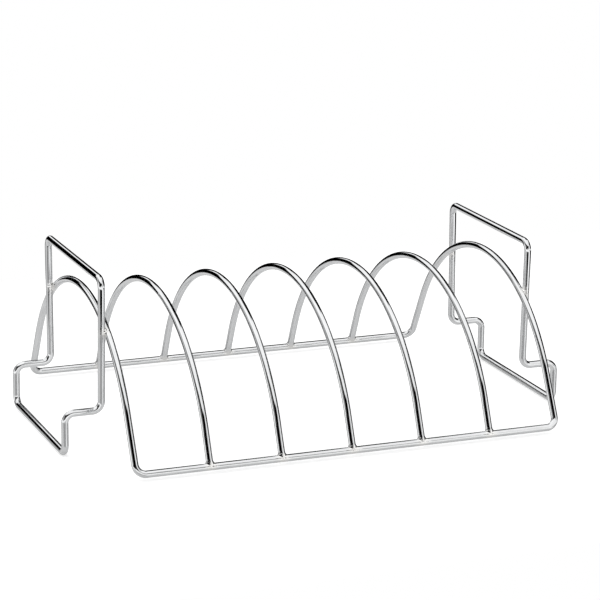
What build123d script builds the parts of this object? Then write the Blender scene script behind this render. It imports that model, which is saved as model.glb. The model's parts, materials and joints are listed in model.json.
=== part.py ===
from build123d import *
import os
from math import cos, radians, sin, sqrt, tan

# A reversible grill rack, resistance welded from bright round wire. One closed
# wire makes the two rails and the two end arches. Five arches stand between the
# rails, and a closed handle loop is welded outside each end arch: its top is the
# handle and its stepped lower end is the foot that the rack stands on.
#
# Millimetres. X runs along the rails, Y across them and Z up. The origin is the
# centre of the footprint, on the surface that the feet stand on.

# Wire
frame_wire = 5.0              # rails and end arches
arch_wire = 5.0               # the arches between the rails
handle_wire = 5.0             # handle loops

# Rails and end arches, measured between wire centres
arch_pitch = 52.0
inner_arches = 5
rail_spacing = 250.0
rail_clearance = 2.0          # under the rails, above the surface
frame_corner = 7.0            # bend where a rail turns up into an end arch
end_arch_leg = 41.5           # straight leg from the rail, for a rise of 100
end_arch_lean = 28.0          # degrees that the straight legs lean inwards

# Inner arches
inner_arch_leg = 22.8         # straight leg from the rail, for a rise of 96
inner_arch_lean = 24.0

# Handle loops
handle_rise = 121.2           # from the foot bar's centre to the top bar's centre
handle_top_width = 127.0
handle_foot_width = 122.0
handle_corner = 6.5           # bends of the loop
step_rise = 28.5              # from the foot bar's centre to the step's centre
step_out = 26.0               # how far the foot stands out from the handle

# Welds
set_down = 0.9                # how deep a handle is pressed into an end arch
nugget_radius = 2.7           # upset metal where a handle crosses an end arch
flash_width = 0.9             # upset metal round an arch's foot, beyond the wire
flash_height = 1.8            # its height above the rail's top
flash_hollow = 2.9            # radius of its hollow side
flash_share = 0.9             # its width across the rail, as a share of the wire
blunt_tip = 0.8               # an arch's wire ends this far above the rail's centre

end_plane = arch_pitch * (inner_arches + 1) / 2
rail_z = rail_clearance + frame_wire / 2
foot_z = handle_wire / 2
handle_plane = end_plane + (frame_wire + handle_wire) / 2 - set_down


def bent_wire(points, radii, diameter, closed):
    """A round wire along straight runs that are joined by tangent bends."""
    path = FilletPolyline(*points, radius=radii, close=closed).wire()
    section = Plane(origin=path @ 0, z_dir=path % 0) * Circle(diameter / 2)
    return sweep(section, path=path)


def crown_radius(leg, lean):
    """Radius of the crown that joins the two straight legs of an arch."""
    angle = radians(lean)
    return (rail_spacing / 2 / sin(angle) - leg) * tan(angle)


def arch_points(x, lean, cut=0.0):
    """Front foot, the point where the legs would meet, and rear foot.

    The feet are cut short by a length along each leg.
    """
    angle = radians(lean)
    half = rail_spacing / 2
    peak = rail_z + half / tan(angle)
    y = half - cut * sin(angle)
    z = rail_z + cut * cos(angle)
    return [(x, -y, z), (x, 0, peak), (x, y, z)]


def make_perimeter_frame():
    """Both rails and both end arches, bent from one wire into a closed loop."""
    left = arch_points(-end_plane, end_arch_lean)
    right = arch_points(end_plane, end_arch_lean)
    crown = crown_radius(end_arch_leg, end_arch_lean)
    bends = [frame_corner, crown, frame_corner]
    return bent_wire(left + right[::-1], bends + bends, frame_wire, True)


def make_foot_flash():
    """Upset metal round an arch's foot: the rail's centre is at the origin.

    It flares along the rail, and its rounded sides stay on the rail's back.
    """
    wire = arch_wire / 2
    seat = frame_wire / 2
    outer = wire + flash_width
    top = seat + flash_height
    with BuildSketch(Plane.XZ) as profile:
        with BuildLine():
            Polyline((wire, top), (0, top), (0, 0), (outer, 0), (outer, seat))
            RadiusArc((outer, seat), (wire, top), -flash_hollow)
        make_face()
    collar = revolve(profile.sketch, Axis.Z)
    past_both_ends = 4 * outer
    sides = Pos(0, 0, seat) * Rot(0, 90, 0) * Cylinder(flash_share * seat, past_both_ends)
    return collar & sides


def make_inner_arch(x):
    """One arch, its feet shaped to the rails with the weld's upset metal."""
    crown = crown_radius(inner_arch_leg, inner_arch_lean)
    points = arch_points(x, inner_arch_lean, blunt_tip)
    arch = bent_wire(points, [crown], arch_wire, False)
    flash = make_foot_flash()
    rail = Rot(0, 90, 0) * Cylinder(frame_wire / 2, 2 * end_plane)
    for side in (-1, 1):
        seat = Pos(0, side * rail_spacing / 2, rail_z)
        arch += seat * Pos(x, 0, 0) * Rot(side * inner_arch_lean, 0, 0) * flash
        arch -= seat * rail
    return arch


def side_crossing():
    """Y and Z where a handle's side passes the end arch's crown."""
    angle = radians(end_arch_lean)
    crown = crown_radius(end_arch_leg, end_arch_lean)
    centre = rail_z + rail_spacing / 2 / tan(angle) - crown / sin(angle)
    y0 = handle_foot_width / 2
    z0 = foot_z + step_rise - centre
    slope = (handle_top_width - handle_foot_width) / 2 / (handle_rise - step_rise)
    a = 1 + slope**2
    b = z0 + slope * y0
    up = (sqrt(b**2 - a * (y0**2 + z0**2 - crown**2)) - b) / a
    return y0 + slope * up, centre + z0 + up


def make_handle(side, frame):
    """One closed handle loop with its stepped foot, pressed into an end arch."""
    top = handle_top_width / 2
    low = handle_foot_width / 2
    plane = side * handle_plane
    foot = side * (handle_plane + step_out)
    z_top = foot_z + handle_rise
    z_step = foot_z + step_rise
    front = [(foot, -low, foot_z), (foot, -low, z_step), (plane, -low, z_step), (plane, -top, z_top)]
    rear = [(x, -y, z) for x, y, z in reversed(front)]
    corners = front + rear
    loop = bent_wire(corners, [handle_corner] * len(corners), handle_wire, True)
    y, z = side_crossing()
    weld_x = side * (end_plane + (frame_wire - set_down) / 2)
    for across in (-1, 1):
        loop += Pos(weld_x, across * y, z) * Sphere(nugget_radius)
    return loop - frame


os.makedirs("parts", exist_ok=True)
perimeter_frame = make_perimeter_frame()
export_step(perimeter_frame, "parts/perimeter_frame.step")

for index in range(inner_arches):
    x = (index + 1) * arch_pitch - end_plane
    export_step(make_inner_arch(x), f"parts/inner_arch_{index + 1}.step")

export_step(make_handle(-1, perimeter_frame), "parts/left_handle.step")
export_step(make_handle(1, perimeter_frame), "parts/right_handle.step")
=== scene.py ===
# %% [markdown]
# # A grill rack in bright plated wire
#
# The rack is eight pieces of 5 mm round wire that are resistance welded
# together and then plated. One closed wire makes both rails and both end
# arches, five arches stand between the rails, and a closed loop at each end is
# the handle at its top and the foot at its bottom.
#
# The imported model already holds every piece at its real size, but as loose
# triangles. It could be shown as it is, but polished metal shows each flat
# facet. So every wire is bent here once more, as a smooth tube that lies where
# its solid lies.

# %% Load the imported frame
import json
import math

import bpy
import numpy as np
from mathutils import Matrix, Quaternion, Vector


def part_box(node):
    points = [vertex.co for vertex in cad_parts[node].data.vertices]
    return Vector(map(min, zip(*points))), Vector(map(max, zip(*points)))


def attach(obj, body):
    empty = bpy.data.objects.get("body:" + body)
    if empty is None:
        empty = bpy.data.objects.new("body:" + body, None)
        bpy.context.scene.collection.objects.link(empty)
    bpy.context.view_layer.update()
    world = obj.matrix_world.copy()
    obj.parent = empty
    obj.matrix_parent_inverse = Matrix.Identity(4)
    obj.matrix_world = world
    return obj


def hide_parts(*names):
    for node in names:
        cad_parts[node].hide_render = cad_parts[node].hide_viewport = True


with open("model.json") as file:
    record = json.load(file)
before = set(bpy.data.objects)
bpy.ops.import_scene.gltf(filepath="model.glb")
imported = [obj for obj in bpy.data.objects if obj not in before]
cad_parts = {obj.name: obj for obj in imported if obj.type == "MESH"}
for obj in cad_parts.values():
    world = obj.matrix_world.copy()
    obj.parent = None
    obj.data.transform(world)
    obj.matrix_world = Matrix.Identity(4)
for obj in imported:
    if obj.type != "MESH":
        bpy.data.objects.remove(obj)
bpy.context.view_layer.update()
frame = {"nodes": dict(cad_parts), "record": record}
mm = 0.001


def in_mm(length, digits=1):
    """A length in millimetres, rounded to be printed."""
    return round(length / mm, digits)


print("nodes:", sorted(frame["nodes"]))

# %% [markdown]
# ## Sizes
#
# The sizes come from the frame wherever it can tell them: a node's box gives
# the outside of its wire, and the wire's centre line lies half a wire inside.
# They could all be written down once more, but then two lists would have to be
# kept the same. Only bends and slopes, which a box can't show, are written
# down here.

# %% Sizes that the frame tells
wire_radius = 2.5 * mm

frame_low, frame_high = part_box("perimeter_frame")
arch_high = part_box("inner_arch_3")[1]
handle_low, handle_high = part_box("left_handle")

end_plane = frame_high.x - wire_radius
half_spacing = frame_high.y - wire_radius
rail_z = frame_low.z + wire_radius
end_crown_z = frame_high.z - wire_radius
inner_crown_z = arch_high.z - wire_radius
handle_top_z = handle_high.z - wire_radius
foot_z = handle_low.z + wire_radius
foot_plane = -handle_low.x - wire_radius

handle_bar = next(m for m in frame["record"]["mounts"] if m["name"] == "left_handle_bar")
handle_plane = -handle_bar["pos_m"][0]
print("end arches at x = +/-", in_mm(end_plane, 2), "mm, handles at", in_mm(handle_plane, 2))

# %% Bends and slopes that a box can't show
end_lean = math.radians(28)
inner_lean = math.radians(24)
frame_corner = 7.0 * mm
handle_corner = 6.5 * mm
handle_top_half = 63.5 * mm
handle_foot_half = 61.0 * mm
step_rise = 28.5 * mm
step_z = foot_z + step_rise
print("the loops step out", in_mm(step_z), "mm above the table")

# %% [markdown]
# ## Camera
#
# A long lens from about two metres keeps the seven arches nearly parallel, as
# in a catalogue picture. The rack is seen past its left front corner and from
# a little above, and the picture is turned by less than a degree. A tracking
# constraint could aim the camera, but it can't give that small turn, so the
# camera is turned directly.

# %% Camera
camera_azimuth = math.radians(-21.94)
camera_elevation = math.radians(15.285)
camera_roll = math.radians(0.753)
camera_distance = 1.846
camera_target = Vector((0.0097, 0.0, 0.0781))
sensor_width = 36.0
focal_pixels = 2551.1
picture_width = 600

camera_back = Vector((
    math.sin(camera_azimuth) * math.cos(camera_elevation),
    -math.cos(camera_azimuth) * math.cos(camera_elevation),
    math.sin(camera_elevation),
))
bpy.ops.object.camera_add(location=camera_target + camera_distance * camera_back)
camera = bpy.context.object
camera.name = "camera"
camera.data.sensor_width = sensor_width
camera.data.lens = focal_pixels / picture_width * sensor_width
camera.rotation_mode = "QUATERNION"
level_view = (-camera_back).to_track_quat("-Z", "Y")
camera.rotation_quaternion = level_view @ Quaternion((0, 0, 1), camera_roll)
bpy.context.scene.camera = camera
bpy.context.scene.view_settings.view_transform = "Standard"
print("lens", round(camera.data.lens, 1), "mm, at", [round(v, 3) for v in camera.location])

# %% [markdown]
# ## Studio
#
# Polished wire has no colour of its own: it is a mirror rolled into a tube, and
# what it shows is the room. Each wire sweeps the whole room into a few
# stripes, so the room is what gets designed here.
#
# The room is white all round, like a light tent. Black flags, grey scrims and
# cards stand in it, and they draw the dark and grey lines down the wires.
# Without them the rack would vanish into its white background. They could be
# planes with their own light, but a near plane shows at another place in every
# arch. Here they are painted into the world by direction, so that every arch
# shows the same stripes.

# %% Helpers for colours and nodes
def linear(hex_colour):
    """The linear colour that an sRGB hex colour stands for, by the sRGB curve."""
    channels = []
    for start in (0, 2, 4):
        value = int(hex_colour[start:start + 2], 16) / 255
        channels.append(value / 12.92 if value <= 0.04045 else ((value + 0.055) / 1.055) ** 2.4)
    return (*channels, 1.0)


def add_node(tree, kind, settings=None, links=None):
    """Adds a node, sets its properties or sockets and links its inputs.

    A socket is given by its number where the node has several of one name.
    """
    node = tree.nodes.new(kind)
    for name, value in (settings or {}).items():
        if isinstance(name, str) and hasattr(node, name):
            setattr(node, name, value)
        else:
            node.inputs[name].default_value = value
    for name, source in (links or {}).items():
        tree.links.new(source, node.inputs[name])
    return node


print("middle grey, 808080, in linear light:", round(linear("808080")[0], 3))

# %% The world, and the direction in which a ray looks
world = bpy.data.worlds.new("white_table_studio")
bpy.context.scene.world = world
world.use_nodes = True
room = world.node_tree
room.nodes.clear()

direction = add_node(room, "ShaderNodeTexCoord").outputs["Generated"]
split = add_node(room, "ShaderNodeSeparateXYZ", links={0: direction})
azimuth = add_node(
    room, "ShaderNodeMath", {"operation": "ARCTAN2"},
    {0: split.outputs["X"], 1: split.outputs["Y"]},
).outputs[0]
altitude = add_node(
    room, "ShaderNodeMath", {"operation": "ARCSINE"}, {0: split.outputs["Z"]},
).outputs[0]
print("world:", world.name)

# %% [markdown]
# A panel is a rectangle of directions: a band of bearings times a band of
# levels. A bearing of 0 is behind the rack, 90 is on its right and 180 is in
# front. Each band is 1 inside and fades to 0 over a soft edge, like the edge of
# a cloth flag that stands out of focus. A gradient with sharp stops would be
# shorter, but its edges would look cut with a knife.

# %% A soft band
def band(value, low, high, edge):
    """1 where a value lies between two limits in degrees, with soft edges."""
    rise = add_node(room, "ShaderNodeMapRange", {
        "interpolation_type": "SMOOTHSTEP",
        "From Min": math.radians(low - edge / 2),
        "From Max": math.radians(low + edge / 2),
    }, {0: value})
    fall = add_node(room, "ShaderNodeMapRange", {
        "interpolation_type": "SMOOTHSTEP",
        "From Min": math.radians(high + edge / 2),
        "From Max": math.radians(high - edge / 2),
    }, {0: value})
    return add_node(
        room, "ShaderNodeMath", {"operation": "MULTIPLY"},
        {0: rise.outputs[0], 1: fall.outputs[0]},
    ).outputs[0]


# %% A panel
def hang(before, bearing, level, width, height, turn, edge, brightness):
    """Hangs one panel in the room: where its centre is, its size and its light.

    Angles are in degrees. A turn tips the panel in its own plane, as a flag on
    an arm is tipped.
    """
    along = add_node(
        room, "ShaderNodeMath", {"operation": "SUBTRACT", 1: math.radians(bearing)}, {0: azimuth},
    )
    along = add_node(
        room, "ShaderNodeMath", {"operation": "WRAP", 1: math.pi, 2: -math.pi},
        {0: along.outputs[0]},
    )
    above = add_node(
        room, "ShaderNodeMath", {"operation": "SUBTRACT", 1: math.radians(level)}, {0: altitude},
    )
    place = add_node(
        room, "ShaderNodeCombineXYZ", links={0: along.outputs[0], 1: above.outputs[0]},
    )
    tipped = add_node(
        room, "ShaderNodeVectorRotate",
        {"rotation_type": "Z_AXIS", "Angle": -math.radians(turn)}, {"Vector": place.outputs[0]},
    )
    own = add_node(room, "ShaderNodeSeparateXYZ", links={0: tipped.outputs[0]})
    across = band(own.outputs["X"], -width / 2, width / 2, edge)
    upright = band(own.outputs["Y"], -height / 2, height / 2, edge)
    area = add_node(room, "ShaderNodeMath", {"operation": "MULTIPLY"}, {0: across, 1: upright})
    return add_node(
        room, "ShaderNodeMix", {"data_type": "FLOAT", 3: brightness},
        {0: area.outputs[0], 2: before},
    ).outputs[0]


# %% Hang the panels
room_brightness = 1.12
white_room = add_node(room, "ShaderNodeValue")
white_room.outputs[0].default_value = room_brightness

# Each panel: bearing, level, width, height, turn and edge in degrees, and then
# its brightness.
panels = {
    "table beyond the sheet": (0, -50, 370, 80, 0, 6, 0.65),
    "right white card": (145, 35, 60, 55, 0, 8, 1.0),
    "far left scrim": (-110, 30, 95, 30, 0, 12, 0.2),
    "front left flag": (-165, 30, 75, 25, 5, 5, 0.0),
    "front left flag, low": (-120, 25, 55, 40, -5, 8, 0.0),
    "left scrim's edge": (-45, 15, 25, 55, 40, 10, 0.55),
    "rear flag": (-25, 0, 50, 35, 20, 4, 0.0),
    "rising flag": (15, 10, 50, 20, 35, 4, 0.0),
    "rear right flag": (45, 25, 50, 35, 0, 4, 0.0),
    "right flag": (60, 0, 40, 45, 0, 4, 0.0),
    "right scrim": (85, 15, 30, 35, 0, 5, 0.05),
    "far right flag": (95, 25, 45, 40, 0, 5, 0.0),
    "high right flag": (40, 50, 40, 30, 0, 5, 0.0),
    "narrow rear flag": (25, 10, 30, 50, 10, 4, 0.0),
    "low right flag": (120, -10, 45, 15, 15, 5, 0.0),
    "low front flag": (-155, -20, 75, 15, 5, 8, 0.0),
    "middle left scrim": (-100, 20, 35, 15, -15, 5, 0.25),
    "front scrim": (165, 20, 25, 10, -15, 4, 0.05),
    "front scrim, tipped": (175, 20, 35, 10, -30, 4, 0.75),
    "white card past the sheet": (150, -15, 35, 20, 0, 4, 1.25),
    "dark card past the sheet": (90, -15, 40, 15, -5, 4, 0.0),
}
reflected = white_room.outputs[0]
for setting in panels.values():
    reflected = hang(reflected, *setting)
print("panels in the room:", len(panels))

# %% [markdown]
# The camera sees plain white behind the rack. Diffuse light comes from an even
# white room, so that any other colour put in this scene would look true, and
# only a mirror sees the flags and cards. One room for all rays would be
# simpler, but its flags would show behind the rack.

# %% World output
even_light = 0.80
plain_white = 1.0
path = add_node(room, "ShaderNodeLightPath")
seen_plain = add_node(
    room, "ShaderNodeMath", {"operation": "MAXIMUM"},
    {0: path.outputs["Is Camera Ray"], 1: path.outputs["Is Transmission Ray"]},
)
behind = add_node(
    room, "ShaderNodeMix", {"data_type": "FLOAT", 2: even_light, 3: plain_white},
    {0: seen_plain.outputs[0]},
)
strength = add_node(
    room, "ShaderNodeMix", {"data_type": "FLOAT"},
    {0: path.outputs["Is Glossy Ray"], 2: behind.outputs[0], 3: reflected},
)
background = add_node(
    room, "ShaderNodeBackground", {"Color": (1, 1, 1, 1)}, {"Strength": strength.outputs[0]},
)
add_node(room, "ShaderNodeOutputWorld", links={"Surface": background.outputs[0]})
print("nodes in the world:", len(room.nodes))

# %% [markdown]
# ## Table
#
# The rack stands on a white sheet. It could be left out on a white background,
# but then the rack would cast no shadow and would seem to float.

# %% Sheet
sheet_low = Vector((-0.36, -0.33, 0))
sheet_high = Vector((0.50, 0.40, 0))
bpy.ops.object.select_all(action="DESELECT")
bpy.ops.mesh.primitive_plane_add(size=1, location=(sheet_low + sheet_high) / 2)
floor = bpy.context.object
floor.scale = (*(sheet_high - sheet_low).xy, 1)
bpy.ops.object.transform_apply(location=False, rotation=False, scale=True)
floor.name = "table_sheet"
print("sheet in mm:", [in_mm(side, 0) for side in (sheet_high - sheet_low).xy])

# %% [markdown]
# The sheet's material gets a little glow for the camera alone, so that it is
# as white as the room behind it while the rack's shadow stays. More light on
# the whole scene would do that too, but it would wash out every other colour.
#
# The sheet is slightly glossy, so that a wire sees some of the room in it. A
# glossy shader could show that too, but then no card could be set for the
# sheet alone. Here a share of the rays from the wires passes through the sheet
# to the lower half of the painted room, whose cards stand where a glossy sheet
# would show them.

# %% White sheet material
white_sheet = linear("E6E6E6")
glow_for_camera = 0.50
room_seen_in_sheet = 0.45

sheet_paint = bpy.data.materials.new("white table sheet")
sheet_paint.use_nodes = True
tree = sheet_paint.node_tree
tree.nodes.clear()
path = add_node(tree, "ShaderNodeLightPath")
plain = add_node(tree, "ShaderNodeBsdfDiffuse", {"Color": white_sheet})
lift = add_node(
    tree, "ShaderNodeMath", {"operation": "MULTIPLY", 1: glow_for_camera},
    {0: path.outputs["Is Camera Ray"]},
)
glow = add_node(
    tree, "ShaderNodeEmission", {"Color": (1, 1, 1, 1)}, {"Strength": lift.outputs[0]},
)
both = add_node(tree, "ShaderNodeAddShader", links={0: plain.outputs[0], 1: glow.outputs[0]})
sheen = add_node(
    tree, "ShaderNodeMath", {"operation": "MULTIPLY", 1: room_seen_in_sheet},
    {0: path.outputs["Is Glossy Ray"]},
)
passed_on = add_node(tree, "ShaderNodeBsdfTransparent")
sheet_face = add_node(
    tree, "ShaderNodeMixShader",
    links={0: sheen.outputs[0], 1: both.outputs[0], 2: passed_on.outputs[0]},
)
add_node(tree, "ShaderNodeOutputMaterial", links={"Surface": sheet_face.outputs[0]})
floor.data.materials.append(sheet_paint)
print("sheet's own brightness:", round(white_sheet[0], 2))

# %% [markdown]
# One wide lamp hangs over the table and gives the rack its faint shadow. A sun
# would draw the shadow of every wire as a hard line. The wires don't see the
# lamp, because all that they show is painted into the room.

# %% Lamp
lamp_place = Vector((-0.9, 0.5, 1.9))
lamp_width = 1.4
lamp_depth = 1.0
lamp_watts = 6.0
bpy.ops.object.light_add(type="AREA", location=lamp_place)
lamp = bpy.context.object
lamp.name = "soft_box_lamp"
lamp.data.shape = "RECTANGLE"
lamp.data.size = lamp_width
lamp.data.size_y = lamp_depth
lamp.data.energy = lamp_watts
lamp.rotation_mode = "QUATERNION"
lamp.rotation_quaternion = lamp_place.to_track_quat("Z", "Y")
lamp.visible_glossy = False
print("lamp", round(lamp_place.length, 2), "m from the rack")

# %% [markdown]
# ## Finish
#
# The wire is low carbon steel, drawn bright, welded and then nickel and chrome
# plated. Plating copies the surface under it, so fine drawing lines still run
# along each wire, and it is grainy where a weld was hot. To the eye it is a
# mirror with a few faint streaks.
#
# The lines could be a pattern on Object coordinates, but then they would cut
# straight through the bends. They follow the wire instead, so they are read
# from an attribute that each bent wire carries: its place across the section
# and its length along the wire.

# %% Patterns of the plated wire
# Real drawing lines lie about 0.05 mm apart, too close to show from here, so
# they are drawn coarser.
line_spacing = 0.35 * mm
line_length = 18 * mm
# The grain is at the welds alone, and clouds vary the gloss everywhere.
grain_size = 1.6 * mm
cloud_size = 22 * mm

plate = bpy.data.materials.new("bright chrome plated wire")
plate.use_nodes = True
tree = plate.node_tree
tree.nodes.clear()
place = add_node(tree, "ShaderNodeAttribute", {"attribute_name": "wire_place"})
weld = add_node(tree, "ShaderNodeAttribute", {"attribute_name": "weld"})
point = add_node(tree, "ShaderNodeTexCoord")
stretch = add_node(tree, "ShaderNodeVectorMath", {
    "operation": "MULTIPLY",
    1: (1 / line_spacing, 1 / line_spacing, 1 / line_length),
}, {0: place.outputs["Vector"]})
lines = add_node(
    tree, "ShaderNodeTexNoise", {"Scale": 1.0, "Detail": 3.0, "Roughness": 0.6},
    {"Vector": stretch.outputs[0]},
)
grain = add_node(
    tree, "ShaderNodeTexNoise", {"Scale": 1 / grain_size, "Detail": 2.0, "Roughness": 0.5},
    {"Vector": point.outputs["Object"]},
)
clouds = add_node(
    tree, "ShaderNodeTexNoise", {"Scale": 1 / cloud_size, "Detail": 2.0},
    {"Vector": point.outputs["Object"]},
)
print("drawing lines across a wire:", round(2 * wire_radius / line_spacing))

# %% Colours of the plated wire
# Chrome itself sends back about two thirds of the light. It is paler here, to
# look as white as the rack does.
chrome = linear("F0F1F2")
chrome_in_lines = linear("DCDDDE")
chrome_at_weld = linear("F4F3F1")
streaks_from = 0.42
streaks_to = 0.60

streaks = add_node(
    tree, "ShaderNodeMapRange", {"From Min": streaks_from, "From Max": streaks_to},
    {0: lines.outputs["Fac"]},
)
drawn = add_node(
    tree, "ShaderNodeMix", {"data_type": "RGBA", 6: chrome, 7: chrome_in_lines},
    {0: streaks.outputs[0]},
)
tint = add_node(
    tree, "ShaderNodeMix", {"data_type": "RGBA", 7: chrome_at_weld},
    {0: weld.outputs["Fac"], 6: drawn.outputs[2]},
)
print("chrome sends back", round(chrome[0], 2), "of the light")

# %% Gloss and bumps of the plated wire
roughness_low = 0.02
roughness_high = 0.05
roughness_at_weld = 0.04
line_depth = 0.02 * mm
line_strength = 0.08
grain_depth = 0.5 * mm
grain_strength = 0.5

clouded = add_node(
    tree, "ShaderNodeMapRange", {"To Min": roughness_low, "To Max": roughness_high},
    {0: clouds.outputs["Fac"]},
)
roughness = add_node(
    tree, "ShaderNodeMix", {"data_type": "FLOAT", 3: roughness_at_weld},
    {0: weld.outputs["Fac"], 2: clouded.outputs[0]},
)
fine = add_node(
    tree, "ShaderNodeBump", {"Strength": line_strength, "Distance": line_depth},
    {"Height": lines.outputs["Fac"]},
)
hot_grain = add_node(
    tree, "ShaderNodeMath", {"operation": "MULTIPLY"},
    {0: weld.outputs["Fac"], 1: grain.outputs["Fac"]},
)
coarse = add_node(
    tree, "ShaderNodeBump", {"Strength": grain_strength, "Distance": grain_depth},
    {"Height": hot_grain.outputs[0], "Normal": fine.outputs[0]},
)
metal = add_node(
    tree, "ShaderNodeBsdfPrincipled", {"Metallic": 1.0},
    {"Base Color": tint.outputs[2], "Roughness": roughness.outputs[0], "Normal": coarse.outputs[0]},
)
add_node(tree, "ShaderNodeOutputMaterial", links={"Surface": metal.outputs[0]})
print("nodes in the plating:", len(tree.nodes))

# %% [markdown]
# ## Bending wire
#
# A wire bender works from a list of straight lengths and bends, and so do
# these helpers: a circle is extruded along each straight and spun round each
# bend. A curve with a round bevel would be quicker, but it would not let each
# ring be placed. A short holding length at both ends of a straight keeps the
# smooth shading of the bend from running into the straight, and rings beside a
# weld let its heat fade.

# %% How finely a wire is bent
wire_sides = 40
degrees_a_step = 2.5
fewest_steps = 14
holding_length = 0.6 * mm
shortest_length = holding_length / 10
weld_heat_reach = 6.0 * mm
# Rings beside a weld, as shares of the reach of its heat.
heat_rings = (-1, -0.6, -0.3, 0, 0.3, 0.6, 1)


def select_only(piece):
    """Selects one object and nothing else, and makes it the active one."""
    bpy.ops.object.select_all(action="DESELECT")
    piece.select_set(True)
    bpy.context.view_layer.objects.active = piece


print("longest step round a wire:", in_mm(2 * math.pi * wire_radius / wire_sides, 2), "mm")

# %% The first ring of a wire
def start_ring(name, centre, heading):
    """A circle of wire size across a heading, in edit mode and selected."""
    bpy.ops.object.select_all(action="DESELECT")
    turn = heading.to_track_quat("Z", "Y").to_euler()
    bpy.ops.mesh.primitive_circle_add(
        vertices=wire_sides, radius=wire_radius, location=centre, rotation=turn,
    )
    wire = bpy.context.object
    wire.name = name
    wire.data.name = name
    bpy.ops.object.transform_apply(location=True, rotation=True, scale=True)
    bpy.ops.object.mode_set(mode="EDIT")
    bpy.ops.mesh.select_all(action="SELECT")
    return wire


# %% A straight length
def draw_to(here, there, welds=()):
    """Extrudes the selected ring along a straight, with holding rings.

    A weld on the straight gets rings of its own, so that its heat can fade.
    """
    length = (there - here).length
    if length < shortest_length:
        return
    heading = (there - here).normalized()
    marks = [length]
    if length > 4 * holding_length:
        marks += [holding_length, length - holding_length]
    for weld_spot in welds:
        along = (weld_spot - here).dot(heading)
        if (here + along * heading - weld_spot).length < 2 * wire_radius:
            marks += [along + share * weld_heat_reach for share in heat_rings]
    done = 0.0
    for mark in sorted(marks):
        if mark - done > shortest_length and mark <= length:
            bpy.ops.mesh.extrude_region_move(TRANSFORM_OT_translate={"value": (mark - done) * heading})
            done = mark


# %% A whole wire
def bend_wire(name, points, radii, welds=()):
    """Bends a wire through its corner points and leaves its end ring selected."""
    wire = start_ring(name, points[0], (points[1] - points[0]).normalized())
    here = points[0]
    for corner, after, radius in zip(points[1:-1], points[2:], radii):
        inward = (corner - here).normalized()
        outward = (after - corner).normalized()
        turn = inward.angle(outward)
        reach = radius * math.tan(turn / 2)
        axis = inward.cross(outward).normalized()
        begin = corner - reach * inward
        draw_to(here, begin, welds)
        centre = begin + radius * axis.cross(inward)
        steps = max(fewest_steps, round(math.degrees(turn) / degrees_a_step))
        bpy.ops.mesh.spin(steps=steps, angle=-turn, center=centre, axis=axis)
        here = corner + reach * outward
    draw_to(here, points[-1], welds)
    return wire


# %% [markdown]
# The finish needs to know where each point lies on its wire and how near it is
# to a weld. A UV map could hold the first, but it would tear at a seam along
# the wire. An attribute on the points has no seam.

# %% Place along the wire and heat of the welds
def point_places(mesh):
    """The points of a mesh as rows of X, Y and Z."""
    places = np.empty(len(mesh.vertices) * 3)
    mesh.vertices.foreach_get("co", places)
    return places.reshape(-1, 3)


def mark_wire_place(wire):
    """Stores each point's place across the section and its length along the wire.

    Rings are made one after the other, so a point's number tells its ring.
    """
    rings = point_places(wire.data).reshape(-1, wire_sides, 3)
    centres = rings.mean(axis=1)
    steps = np.linalg.norm(np.diff(centres, axis=0), axis=1)
    along = np.concatenate([[0.0], np.cumsum(steps)])
    angles = np.arange(wire_sides) * 2 * math.pi / wire_sides
    wire_place = np.empty(rings.shape)
    wire_place[:, :, 0] = wire_radius * np.cos(angles)
    wire_place[:, :, 1] = wire_radius * np.sin(angles)
    wire_place[:, :, 2] = along[:, None]
    layer = wire.data.attributes.new("wire_place", "FLOAT_VECTOR", "POINT")
    layer.data.foreach_set("vector", wire_place.ravel())
    return along[-1]


def mark_weld(wire, weld_spots, reach):
    """Stores how near each point is to a weld, from 1 at the weld to 0."""
    points = point_places(wire.data)
    nearest = np.full(len(points), np.inf)
    for weld_spot in weld_spots:
        nearest = np.minimum(nearest, np.linalg.norm(points - np.array(weld_spot), axis=1))
    heat = np.clip((reach - nearest) / (reach - wire_radius), 0, 1)
    smooth_heat = heat * heat * (3 - 2 * heat)
    layer = wire.data.attributes.get("weld") or wire.data.attributes.new("weld", "FLOAT", "POINT")
    layer.data.foreach_set("value", smooth_heat.astype(np.float32))


# %% [markdown]
# A closed wire could be bent all the way round, but its last ring would have to
# meet its first exactly. Half of it, or a quarter, is bent and mirrored
# instead, which closes it with no seam. A mirror turns faces over, so they are
# all turned outwards again.

# %% Mirror a wire and put it in the frame
merge_distance = 0.01 * mm
crease_angle = math.radians(38)


def mirror(wire, across_x=False, across_y=False):
    """Adds what is missing of a wire, merges it and turns all faces outwards."""
    halves = wire.modifiers.new("other half", "MIRROR")
    halves.use_axis = (across_x, across_y, False)
    halves.merge_threshold = merge_distance
    select_only(wire)
    bpy.ops.object.modifier_apply(modifier=halves.name)
    bpy.ops.object.mode_set(mode="EDIT")
    bpy.ops.mesh.select_all(action="SELECT")
    bpy.ops.mesh.normals_make_consistent(inside=False)
    bpy.ops.object.mode_set(mode="OBJECT")


def finish_wire(wire, node):
    """Smooths the faces and puts the wire in the frame."""
    select_only(wire)
    bpy.ops.object.shade_smooth_by_angle(angle=crease_angle)
    wire.data.materials.clear()
    wire.data.materials.append(plate)
    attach(wire, "root")
    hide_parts(node)
    low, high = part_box(node)
    corners = [Vector(c) for c in wire.bound_box]
    drift = max(
        max(abs(min(c[i] for c in corners) - low[i]), abs(max(c[i] for c in corners) - high[i]))
        for i in range(3)
    )
    faces = len(wire.data.polygons)
    print(f"{wire.name}: {faces} faces, box within {in_mm(drift, 3):.3f} mm of its solid")


# %% [markdown]
# ## Rails and end arches
#
# On the real rack one wire is bent round all four corners and its ends are
# butt welded and ground flush. A quarter of it is bent here: from the top of
# the left end arch, down its front leg, round the corner and half way along
# the front rail. It is then mirrored twice.

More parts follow.
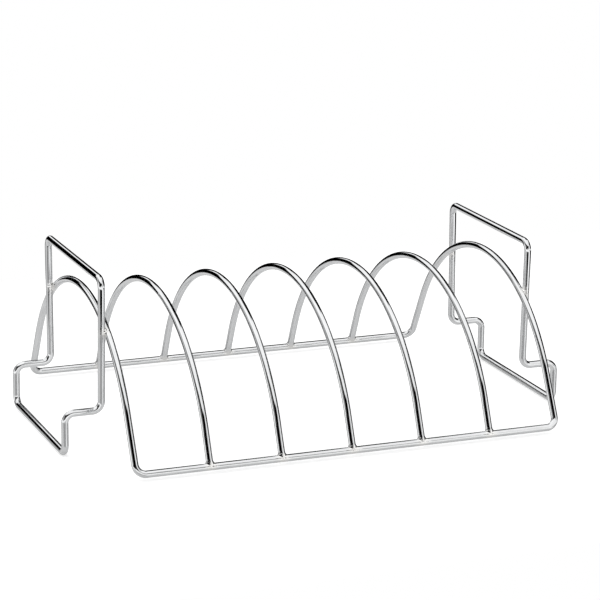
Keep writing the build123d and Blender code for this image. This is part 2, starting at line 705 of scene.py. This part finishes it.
# %% Crown of an arch
def crown_corner(leg_foot_z, crown_z, lean):
    """Radius of an arch's crown, and where its tangents meet beside the leg.

    The crown touches the level line through its top and the leaning leg.
    """
    leg_shift = (crown_z - leg_foot_z) * math.tan(lean)
    half_top = half_spacing - leg_shift
    radius = half_top / math.tan((math.pi / 2 - lean) / 2)
    return radius, half_top


frame_crown, frame_half_top = crown_corner(rail_z, end_crown_z, end_lean)
inner_crown, inner_half_top = crown_corner(rail_z, inner_crown_z, inner_lean)
print("crown radius of an end arch", in_mm(frame_crown), "mm, of an inner arch", in_mm(inner_crown))

# %% Perimeter frame
arch_boxes = [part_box(f"inner_arch_{number}") for number in range(1, 6)]
arch_planes = [(low.x + high.x) / 2 for low, high in arch_boxes]
perimeter_wire = bend_wire(
    "rails_and_end_arches",
    [
        Vector((-end_plane, 0, end_crown_z)),
        Vector((-end_plane, -frame_half_top, end_crown_z)),
        Vector((-end_plane, -half_spacing, rail_z)),
        Vector((0, -half_spacing, rail_z)),
    ],
    [frame_crown, frame_corner],
    welds=[Vector((x, -half_spacing, rail_z)) for x in arch_planes[:3]],
)
bpy.ops.object.mode_set(mode="OBJECT")
quarter_length = mark_wire_place(perimeter_wire)
mirror(perimeter_wire, across_x=True, across_y=True)
print("wire in the closed frame:", round(4 * quarter_length, 3), "m")

# %% [markdown]
# ## Inner arches
#
# An inner arch is a plain bent wire, apart from its feet. A resistance welder
# pushes the hot foot down on the rail: the foot takes the rail's shape, and
# some metal is squeezed out along the rail in a short hollow flare.
#
# The flare could be a collar of its own that is joined on, but a join leaves an
# edge round the leg. Widening the last rings along the rail only keeps one
# smooth skin.

# %% Shape of the flare
# The flare reaches this far beyond the wire, stands this high on the rail and
# has a hollow side of this radius.
flash_width = 0.9 * mm
flash_height = 1.8 * mm
flash_hollow = 2.9 * mm
flare_rings = 7
# The wire itself ends this far above the rail's centre.
blunt_tip = 0.8 * mm


def flare_profile():
    """Heights above the rail's top and half widths of the hollow flare."""
    half_chord = math.hypot(flash_width, flash_height) / 2
    slope = math.atan2(flash_height, flash_width)
    half_sweep = math.asin(half_chord / flash_hollow)
    middle = (wire_radius + flash_width / 2, flash_height / 2)
    back = math.sqrt(flash_hollow ** 2 - half_chord ** 2)
    centre = (middle[0] + back * math.sin(slope), middle[1] + back * math.cos(slope))
    facing = math.atan2(middle[1] - centre[1], middle[0] - centre[0])
    rings = []
    for ring in range(flare_rings + 1):
        angle = facing - half_sweep + 2 * half_sweep * ring / flare_rings
        width = centre[0] + flash_hollow * math.cos(angle)
        rings.append((centre[1] + flash_hollow * math.sin(angle), width))
    return rings


print("flare, height and half width in mm:")
print([(in_mm(h, 2), in_mm(w, 2)) for h, w in flare_profile()])

# %% A foot with its flare
def shape_foot(foot, heading):
    """Flares the wire's end along the rail and closes it inside the rail.

    The selected ring is at the top of the flare. The heading points down the
    leg, and the foot is where the leg meets the rail's centre.
    """
    width = wire_radius
    height = wire_radius + flash_height
    levels = [(wire_radius + h, w) for h, w in flare_profile()[1:]]
    levels.append((blunt_tip, wire_radius + flash_width))
    for next_height, next_width in levels:
        step = (height - next_height) * heading
        bpy.ops.mesh.extrude_region_move(TRANSFORM_OT_translate={"value": step})
        ring = foot - next_height * heading
        bpy.ops.transform.resize(value=(next_width / width, 1, 1), center_override=ring)
        width = next_width
        height = next_height
    bpy.ops.mesh.edge_face_add()


# %% Bend the arch and shape its feet
leg_heading = Vector((0, -math.sin(inner_lean), -math.cos(inner_lean)))
front_foot = Vector((0, -half_spacing, rail_z))
arch = bend_wire(
    "inner_arch_wire_3",
    [
        Vector((0, 0, inner_crown_z)),
        Vector((0, -inner_half_top, inner_crown_z)),
        front_foot - (wire_radius + flash_height) * leg_heading,
    ],
    [inner_crown],
)
shape_foot(front_foot, leg_heading)
bpy.ops.object.mode_set(mode="OBJECT")
arch_half_length = mark_wire_place(arch)
mirror(arch, across_y=True)
print("wire in an inner arch:", round(2 * arch_half_length, 3), "m")

# %% [markdown]
# Each foot is seated on the rail by cutting it with the rail's own cylinder.
# The cylinder is a hundredth of a millimetre thinner than the rail, so that
# the foot sinks that much into it and no slit of light shows between them.

# %% Cut both seats with the rails
seat_sink = 0.01 * mm
seat_sides = 96
seat_length = 6 * wire_radius


def cut(piece, tool, operation):
    """Applies one tool to a piece as a boolean, and takes the tool away."""
    step = piece.modifiers.new("tool", "BOOLEAN")
    step.operation = operation
    step.solver = "EXACT"
    step.object = tool
    bpy.context.view_layer.objects.active = piece
    bpy.ops.object.modifier_apply(modifier=step.name)
    bpy.data.objects.remove(tool)


for side in (-1, 1):
    bpy.ops.object.select_all(action="DESELECT")
    bpy.ops.mesh.primitive_cylinder_add(
        vertices=seat_sides, radius=wire_radius - seat_sink, depth=seat_length,
        location=(0, side * half_spacing, rail_z), rotation=(0, math.pi / 2, 0),
    )
    cut(arch, bpy.context.object, "DIFFERENCE")

rear_foot = Vector((0, half_spacing, rail_z))
mark_weld(arch, [front_foot, rear_foot], weld_heat_reach)
print("points on an arch with its seats cut:", len(arch.data.vertices))

# %% [markdown]
# The five arches are the same, so the arch is bent once. An Array modifier
# would be shorter, but it would make one object of them all. Each copy here
# has a mesh of its own and is moved to its place along the rails.

# %% Copy the arch to its five places
for number in (1, 2, 4, 5):
    select_only(arch)
    shift = (arch_planes[number - 1], 0, 0)
    bpy.ops.object.duplicate_move(TRANSFORM_OT_translate={"value": shift})
    bpy.context.object.name = f"inner_arch_wire_{number}"
    bpy.ops.object.transform_apply(location=True)
    finish_wire(bpy.context.object, f"inner_arch_{number}")
finish_wire(arch, "inner_arch_3")

# %% [markdown]
# ## Handle loops
#
# Each loop is bent from one wire with eight corners: down the sides, out at
# the step, down to the foot bar. It lies outside the end arch, and is pressed
# into it by a little under a millimetre where the two cross.
#
# The crossing could be found by trial, but the loop's side is a leaning
# straight and the arch's crown is a circle, so a formula gives it at once.

# %% Where a side of the loop crosses the end arch
def side_crossing():
    """Y and Z, on the front side, of the crossing with the end arch's crown."""
    crown_centre = end_crown_z - frame_crown
    top = Vector((-handle_top_half, handle_top_z - crown_centre))
    run = Vector((-handle_foot_half, step_z - crown_centre)) - top
    a = run.dot(run)
    b = top.dot(run)
    c = top.dot(top) - frame_crown ** 2
    share = (-b - math.sqrt(b * b - a * c)) / a
    crossing = top + share * run
    return crossing.x, crossing.y + crown_centre


crossing_y, crossing_z = side_crossing()
weld_plane = (end_plane + handle_plane) / 2
print("handle crosses at y", in_mm(crossing_y), "z", in_mm(crossing_z))

# %% Bend the left loop
front_weld = Vector((-weld_plane, crossing_y, crossing_z))
rear_weld = Vector((-weld_plane, -crossing_y, crossing_z))
handle = bend_wire(
    "left_handle_wire",
    [
        Vector((-handle_plane, 0, handle_top_z)),
        Vector((-handle_plane, -handle_top_half, handle_top_z)),
        Vector((-handle_plane, -handle_foot_half, step_z)),
        Vector((-foot_plane, -handle_foot_half, step_z)),
        Vector((-foot_plane, -handle_foot_half, foot_z)),
        Vector((-foot_plane, 0, foot_z)),
    ],
    [handle_corner] * 4,
    welds=[front_weld],
)
bpy.ops.object.mode_set(mode="OBJECT")
loop_half_length = mark_wire_place(handle)
mirror(handle, across_y=True)
print("wire in a handle loop:", round(2 * loop_half_length, 3), "m")

# %% [markdown]
# Some hot metal gathers round each crossing in a rounded nugget, which is a
# ball that is joined to the loop. The ball and the loop are then cut with a
# copy of the frame's own wire. Its round tube fits the curved crown exactly,
# which a straight cylinder would not.

# %% Add the nuggets and press the loop into the end arch
nugget_radius = 2.7 * mm
nugget_segments = 40
nugget_rings = 24
for side in (-1, 1):
    bpy.ops.object.select_all(action="DESELECT")
    bpy.ops.mesh.primitive_uv_sphere_add(
        segments=nugget_segments, ring_count=nugget_rings, radius=nugget_radius,
        location=(-weld_plane, side * crossing_y, crossing_z), rotation=(0, math.pi / 2, 0),
    )
    cut(handle, bpy.context.object, "UNION")

select_only(perimeter_wire)
bpy.ops.object.duplicate()
cut(handle, bpy.context.object, "DIFFERENCE")
mark_weld(handle, [front_weld, rear_weld], weld_heat_reach)
print("points on a loop with its nuggets:", len(handle.data.vertices))

# %% [markdown]
# The right loop is the left one turned round by half a turn. A mirrored copy
# would do as well, but its faces would have to be turned outwards again. The
# frame's wire is finished last, because it carries the heat of all fourteen
# welds.

# %% Copy the loop to the right end, and put the last wires in the frame
select_only(handle)
bpy.ops.object.duplicate()
right_handle = bpy.context.object
right_handle.name = "right_handle_wire"
bpy.ops.transform.rotate(value=math.pi, orient_axis="Z", center_override=(0, 0, 0))
bpy.ops.object.transform_apply(location=True, rotation=True)
finish_wire(handle, "left_handle")
finish_wire(right_handle, "right_handle")

feet = (front_foot, rear_foot)
welded_feet = [Vector((x, foot.y, foot.z)) for x in arch_planes for foot in feet]
welded_sides = [
    Vector((x * weld_plane, y * crossing_y, crossing_z)) for x in (-1, 1) for y in (-1, 1)
]
mark_weld(perimeter_wire, welded_feet + welded_sides, weld_heat_reach)
finish_wire(perimeter_wire, "perimeter_frame")
